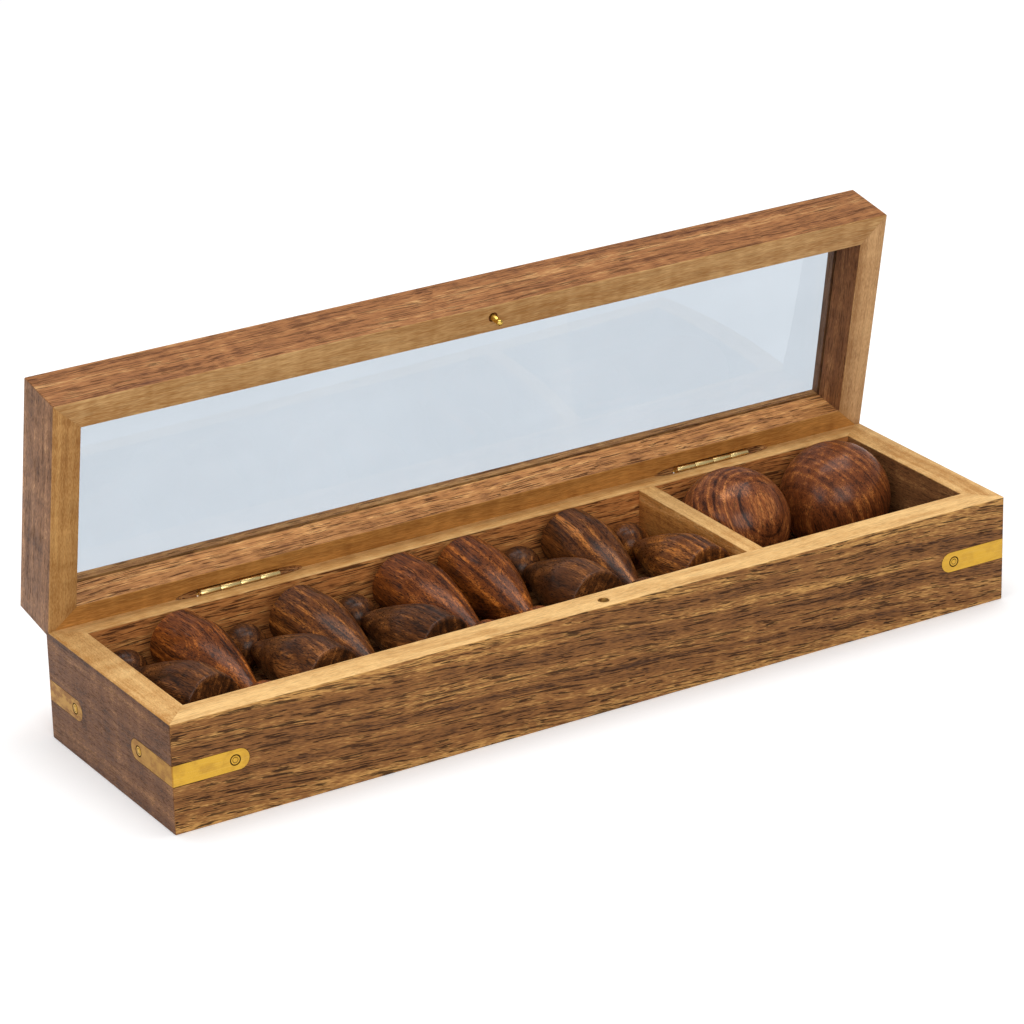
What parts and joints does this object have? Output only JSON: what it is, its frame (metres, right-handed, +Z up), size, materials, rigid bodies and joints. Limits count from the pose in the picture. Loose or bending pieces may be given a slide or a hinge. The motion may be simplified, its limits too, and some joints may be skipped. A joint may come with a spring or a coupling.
{
  "type": "skittles set",
  "caption": "Table-top skittles set: turned wooden pins and balls in a mitred wooden case with a hinged glazed lid, divider, corner straps and a peg catch.",
  "frame": {"origin": "middle of the case's flat underside", "axes": "+X along the case from the pin bay to the ball bay, -Y the front with the catch, +Z up"},
  "size_m": [0.325, 0.106, 0.1259],
  "materials": {
    "case_wood": "oiled open-grained hardwood",
    "pale_wood": "oiled lighter wood",
    "turned_wood": "satin waxed dark hardwood",
    "brass": "satin",
    "glass": "clear"
  },
  "bodies": {
    "case": {"case_bottom_panel": "pale_wood", "case_front_wall": "case_wood", "case_back_wall": "case_wood", "case_left_wall": "case_wood", "case_right_wall": "case_wood", "compartment_divider": "pale_wood", "pin_floor_board": "pale_wood", "pin_floor_bearer_front": "pale_wood", "pin_floor_bearer_back": "pale_wood", "strap_front_left": "brass", "strap_front_right": "brass", "strap_back_left": "brass", "strap_back_right": "brass", "rivet_front_left_face": "brass", "rivet_front_left_end": "brass", "rivet_front_right_face": "brass", "rivet_front_right_end": "brass", "rivet_back_left_face": "brass", "rivet_back_left_end": "brass", "rivet_back_right_face": "brass", "rivet_back_right_end": "brass", "catch_socket": "brass", "hinge_left_case_leaf": "brass", "hinge_left_pin": "brass", "screw_left_case_outer": "brass", "screw_left_case_inner": "brass", "hinge_right_case_leaf": "brass", "hinge_right_pin": "brass", "screw_right_case_outer": "brass", "screw_right_case_inner": "brass"},
    "lid": {"lid_front_rail": "case_wood", "lid_back_rail": "case_wood", "lid_left_rail": "case_wood", "lid_right_rail": "case_wood", "lid_glass": "glass", "catch_peg": "brass", "hinge_left_lid_leaf": "brass", "screw_left_lid_outer": "brass", "screw_left_lid_inner": "brass", "hinge_right_lid_leaf": "brass", "screw_right_lid_outer": "brass", "screw_right_lid_inner": "brass"},
    "pin_01": {"pin_01": "turned_wood"},
    "pin_02": {"pin_02": "turned_wood"},
    "pin_03": {"pin_03": "turned_wood"},
    "pin_04": {"pin_04": "turned_wood"},
    "pin_05": {"pin_05": "turned_wood"},
    "pin_06": {"pin_06": "turned_wood"},
    "pin_07": {"pin_07": "turned_wood"},
    "pin_08": {"pin_08": "turned_wood"},
    "pin_09": {"pin_09": "turned_wood"},
    "pin_10": {"pin_10": "turned_wood"},
    "ball_1": {"ball_1": "turned_wood"},
    "ball_2": {"ball_2": "turned_wood"}
  },
  "joints": [
    {"name": "lid_hinge", "type": "hinge", "parent": "case", "child": "lid", "pos_m": [0, 0.0415, 0.0385], "axis": [-1, 0, 0], "range_deg": [-79.4, 0]},
    {"name": "pin_01_lift", "type": "slide", "parent": "case", "child": "pin_01", "axis": [0, 0, 1], "range_m": [0, 0.045]},
    {"name": "pin_02_lift", "type": "slide", "parent": "case", "child": "pin_02", "axis": [0, 0, 1], "range_m": [0, 0.045]},
    {"name": "pin_03_lift", "type": "slide", "parent": "case", "child": "pin_03", "axis": [0, 0, 1], "range_m": [0, 0.045]},
    {"name": "pin_04_lift", "type": "slide", "parent": "case", "child": "pin_04", "axis": [0, 0, 1], "range_m": [0, 0.045]},
    {"name": "pin_05_lift", "type": "slide", "parent": "case", "child": "pin_05", "axis": [0, 0, 1], "range_m": [0, 0.045]},
    {"name": "pin_06_lift", "type": "slide", "parent": "case", "child": "pin_06", "axis": [0, 0, 1], "range_m": [0, 0.045]},
    {"name": "pin_07_lift", "type": "slide", "parent": "case", "child": "pin_07", "axis": [0, 0, 1], "range_m": [0, 0.045]},
    {"name": "pin_08_lift", "type": "slide", "parent": "case", "child": "pin_08", "axis": [0, 0, 1], "range_m": [0, 0.045]},
    {"name": "pin_09_lift", "type": "slide", "parent": "case", "child": "pin_09", "axis": [0, 0, 1], "range_m": [0, 0.045]},
    {"name": "pin_10_lift", "type": "slide", "parent": "case", "child": "pin_10", "axis": [0, 0, 1], "range_m": [0, 0.045]},
    {"name": "ball_1_lift", "type": "slide", "parent": "case", "child": "ball_1", "axis": [0, 0, 1], "range_m": [0, 0.045]},
    {"name": "ball_2_lift", "type": "slide", "parent": "case", "child": "ball_2", "axis": [0, 0, 1], "range_m": [0, 0.045]}
  ]
}
